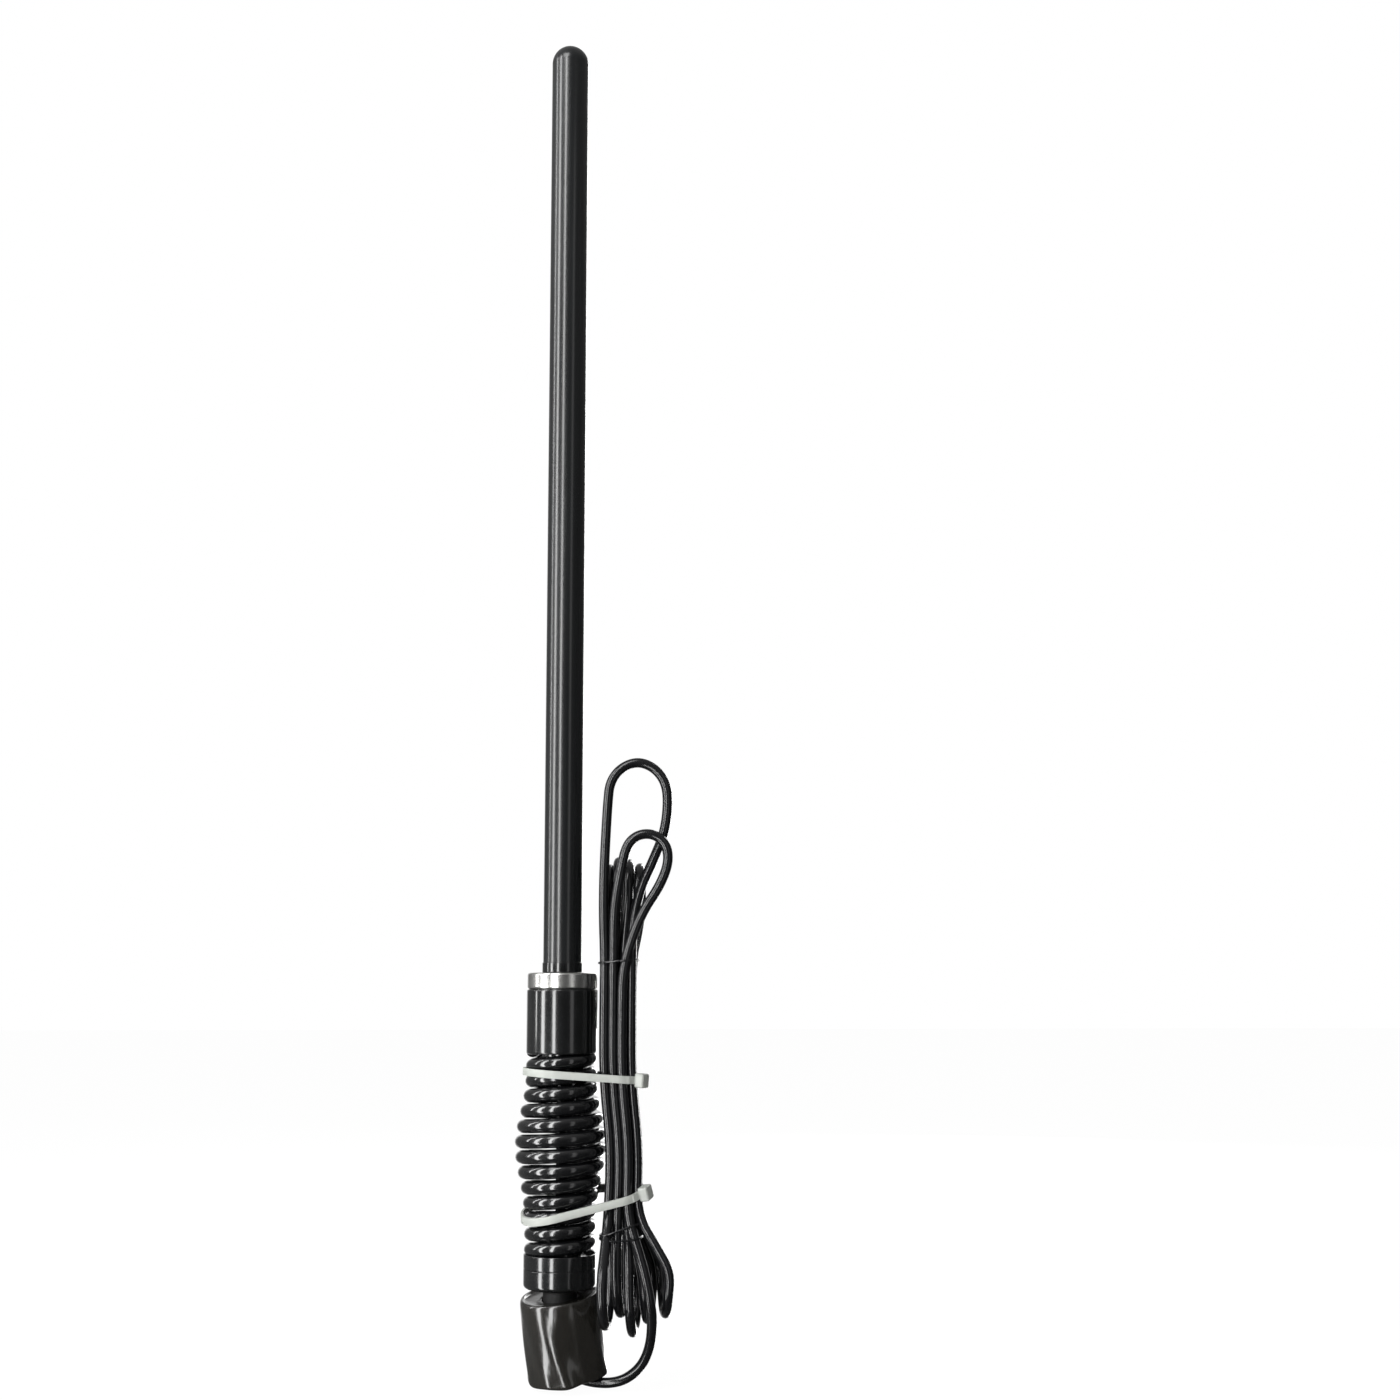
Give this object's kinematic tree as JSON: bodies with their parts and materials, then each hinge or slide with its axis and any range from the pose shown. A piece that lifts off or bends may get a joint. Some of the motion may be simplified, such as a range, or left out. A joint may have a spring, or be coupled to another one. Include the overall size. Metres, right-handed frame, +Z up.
{
  "type": "uhf cb antenna",
  "caption": "Vehicle CB antenna: a gloss black radome whip on a barrel spring and a stud base with a soft boot, its coax lead tied in a hank beside the spring.",
  "frame": {"origin": "centre of the flat seat under the base hub, on the mounting stud's axis", "axes": "+Z up the whip towards its tip, +X to the side where the lead's hank is tied, -Y to the front"},
  "size_m": [0.0767, 0.0598, 0.6785],
  "materials": {
    "radome": "gloss",
    "black_metal": "gloss",
    "spring_steel": "gloss",
    "bright_ring": "polished",
    "plated_steel": "satin",
    "soft_boot": "gloss",
    "jacket": "satin",
    "white_nylon": "satin",
    "brass_rod": "satin",
    "insulation": "matte"
  },
  "bodies": {
    "base": {"base_hub": "black_metal", "lower_collar": "black_metal", "barrel_spring": "spring_steel", "feed_jumper": "jacket", "mount_washer": "plated_steel", "lock_washer": "plated_steel", "mount_nut": "plated_steel", "base_boot": "soft_boot", "coax_gland": "soft_boot", "coax_lead": "jacket", "coax_hank": "jacket", "coax_loop_large": "jacket", "coax_loop_small": "jacket", "coax_tail": "jacket", "connector_sleeve": "soft_boot", "connector_body": "bright_ring", "connector_insulator": "insulation", "connector_pin": "brass_rod", "upper_cable_tie": "white_nylon", "lower_cable_tie": "white_nylon", "upper_twist_tie": "soft_boot", "lower_twist_tie": "soft_boot"},
    "whip": {"upper_collar": "black_metal", "lock_ring": "bright_ring", "whip_ferrule": "black_metal", "radome_tube": "radome", "radome_tip_cap": "radome", "upper_radiator": "brass_rod", "phasing_coil": "brass_rod", "coil_former": "insulation", "lower_radiator": "brass_rod", "element_spacers": "insulation", "feed_insulator": "insulation", "feed_pin": "brass_rod"}
  },
  "joints": [
    {"name": "spring_flex", "type": "hinge", "parent": "base", "child": "whip", "pos_m": [0, 0, 0.063], "axis": [1, 0, 0], "range_deg": [-45, 45], "stiffness_Nm_per_rad": 20, "deforming": ["barrel_spring", "feed_jumper", "upper_cable_tie"]}
  ]
}
